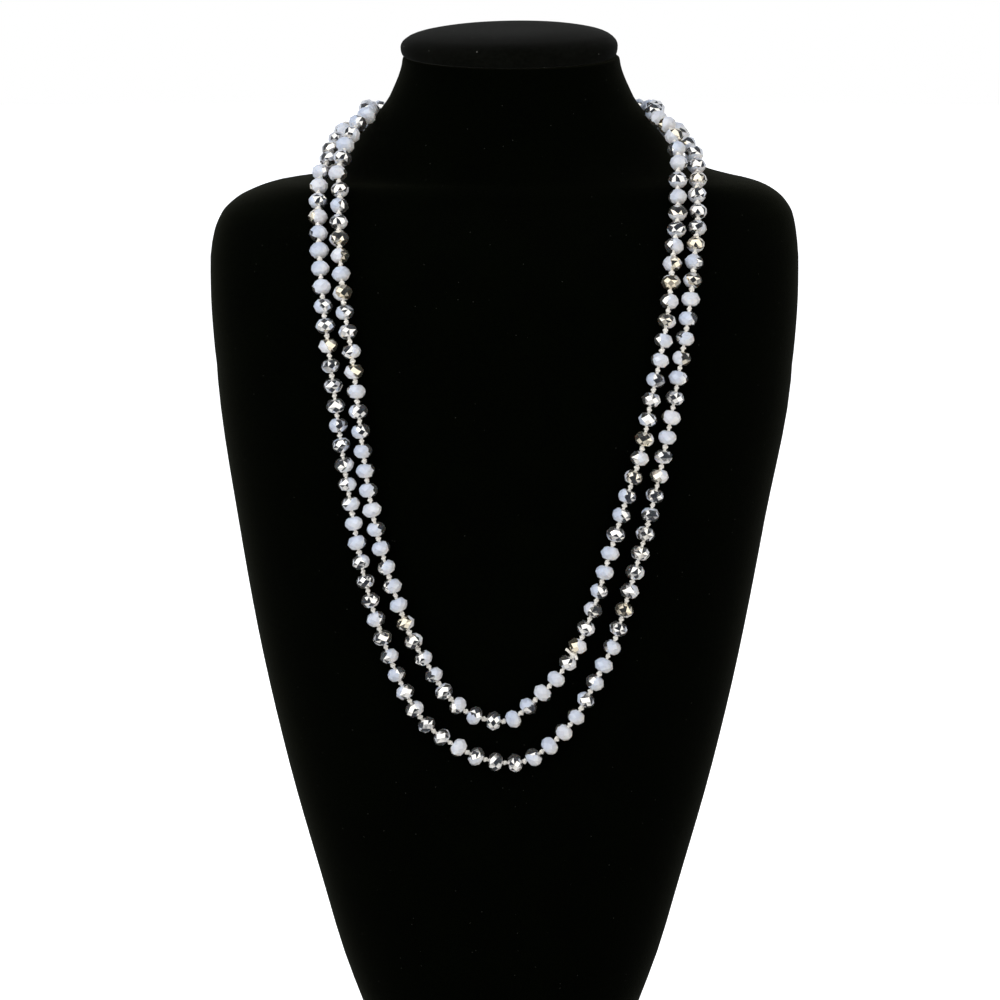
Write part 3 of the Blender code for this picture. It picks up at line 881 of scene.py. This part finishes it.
# Plain white studio: a softbox on each side of the camera and one over it, which the silver shows with the
# dark room between them, and three fills that it doesn't show
studio = {
    "floor": (0.90, 0.90, 0.90), "floorRadius": 6, "floorRoughness": 0.9, "floorSpecular": 0.1,
    "floorGlow": 1.0,
    "lights": [
        # name, shown by the silver, turn to the right, rise, distance, width, height, power, colour
        ("leftSoftbox", True, -50, 14, 1.2, 1.05, 1.30, 6.4, (1.0, 0.98, 0.93)),
        ("rightSoftbox", True, 49, 6, 1.2, 1.00, 1.20, 5.4, (1.0, 0.965, 0.89)),
        ("topSoftbox", True, -8, 55, 1.2, 1.45, 0.80, 5.4, (1.0, 0.98, 0.93)),
        ("leftFill", False, -46, 16, 1.5, 1.40, 1.40, 7.0, (0.97, 0.985, 1.0)),
        ("rightFill", False, 50, -14, 1.5, 1.20, 1.20, 7.6, (1.0, 0.98, 0.95)),
        ("topFill", False, 0, 80, 1.4, 1.20, 1.00, 2.7, (1.0, 1.0, 1.0)),
    ],
    "aim": (0, -0.06, 0.24),
    "room": (0.031, 0.036, 0.047),
    "table": (0.42, 0.42, 0.42),
    "tableFront": (0.95, 0.93, 0.89),
    "backdrop": (0.72, 0.75, 0.82),
    # downward slope of the way out where the table starts, its front takes over, and it ends, then the
    # slope to the back where the backdrop starts
    "tableStart": (0.30, 0.42), "frontStart": (0.42, 0.66), "tableEnd": (0.80, 0.92),
    "backdropStart": (0.15, 0.45),
}


def makeStudio():
    bpy.ops.mesh.primitive_circle_add(vertices=96, radius=studio["floorRadius"], fill_type="NGON")
    floor = bpy.context.object
    floor.name = "floor"
    floor.visible_glossy = False
    floor.visible_diffuse = False
    material = newFinish("paleFloor", {
        "Roughness": studio["floorRoughness"],
        "Specular IOR Level": studio["floorSpecular"],
        "Emission Color": (1, 1, 1, 1),
        "Emission Strength": studio["floorGlow"],
        "Base Color": (*studio["floor"], 1),
    })[0]
    floor.data.materials.append(material)
    for name, shown, turn, rise, distance, width, height, power, colour in studio["lights"]:
        lampData = bpy.data.lights.new(name, "AREA")
        lampData.shape = "RECTANGLE"
        lampData.size, lampData.size_y = width, height
        lampData.energy = power
        lampData.color = colour
        lamp = bpy.data.objects.new(name, lampData)
        turn, rise = radians(turn), radians(rise)
        toward = Vector((sin(turn) * cos(rise), -cos(turn) * cos(rise), sin(rise)))
        lamp.location = Vector(studio["aim"]) + toward * distance
        lamp.visible_glossy = shown
        lamp.rotation_euler = toward.to_track_quat("Z", "Y").to_euler()
        scene.collection.objects.link(lamp)
    world = bpy.data.worlds.new("studio")
    world.use_nodes = True
    scene.world = world
    wire = Wire(world.node_tree)
    direction = wire.make("ShaderNodeTexCoord", output=0)
    parts = wire.make("ShaderNodeSeparateXYZ", None, {"Vector": direction})
    depth = Wire(world.node_tree, parts.socket.node.outputs[1])
    height = Wire(world.node_tree, parts.socket.node.outputs[2])
    down = 0 - height
    table = down.step(*studio["tableStart"]) * (1 - down.step(*studio["tableEnd"]))
    top = down.step(*studio["frontStart"]).blend(studio["table"], studio["tableFront"])
    colour = table.blend(studio["room"], top)
    colour = depth.step(*studio["backdropStart"]).blend(colour, studio["backdrop"])
    seen = wire.make("ShaderNodeLightPath")
    colour = seen.blend(colour, (1.0, 1.0, 1.0))
    ground = world.node_tree.nodes["Background"]
    world.node_tree.links.new(colour.socket, ground.inputs["Color"])


makeStudio()
print("studio set")
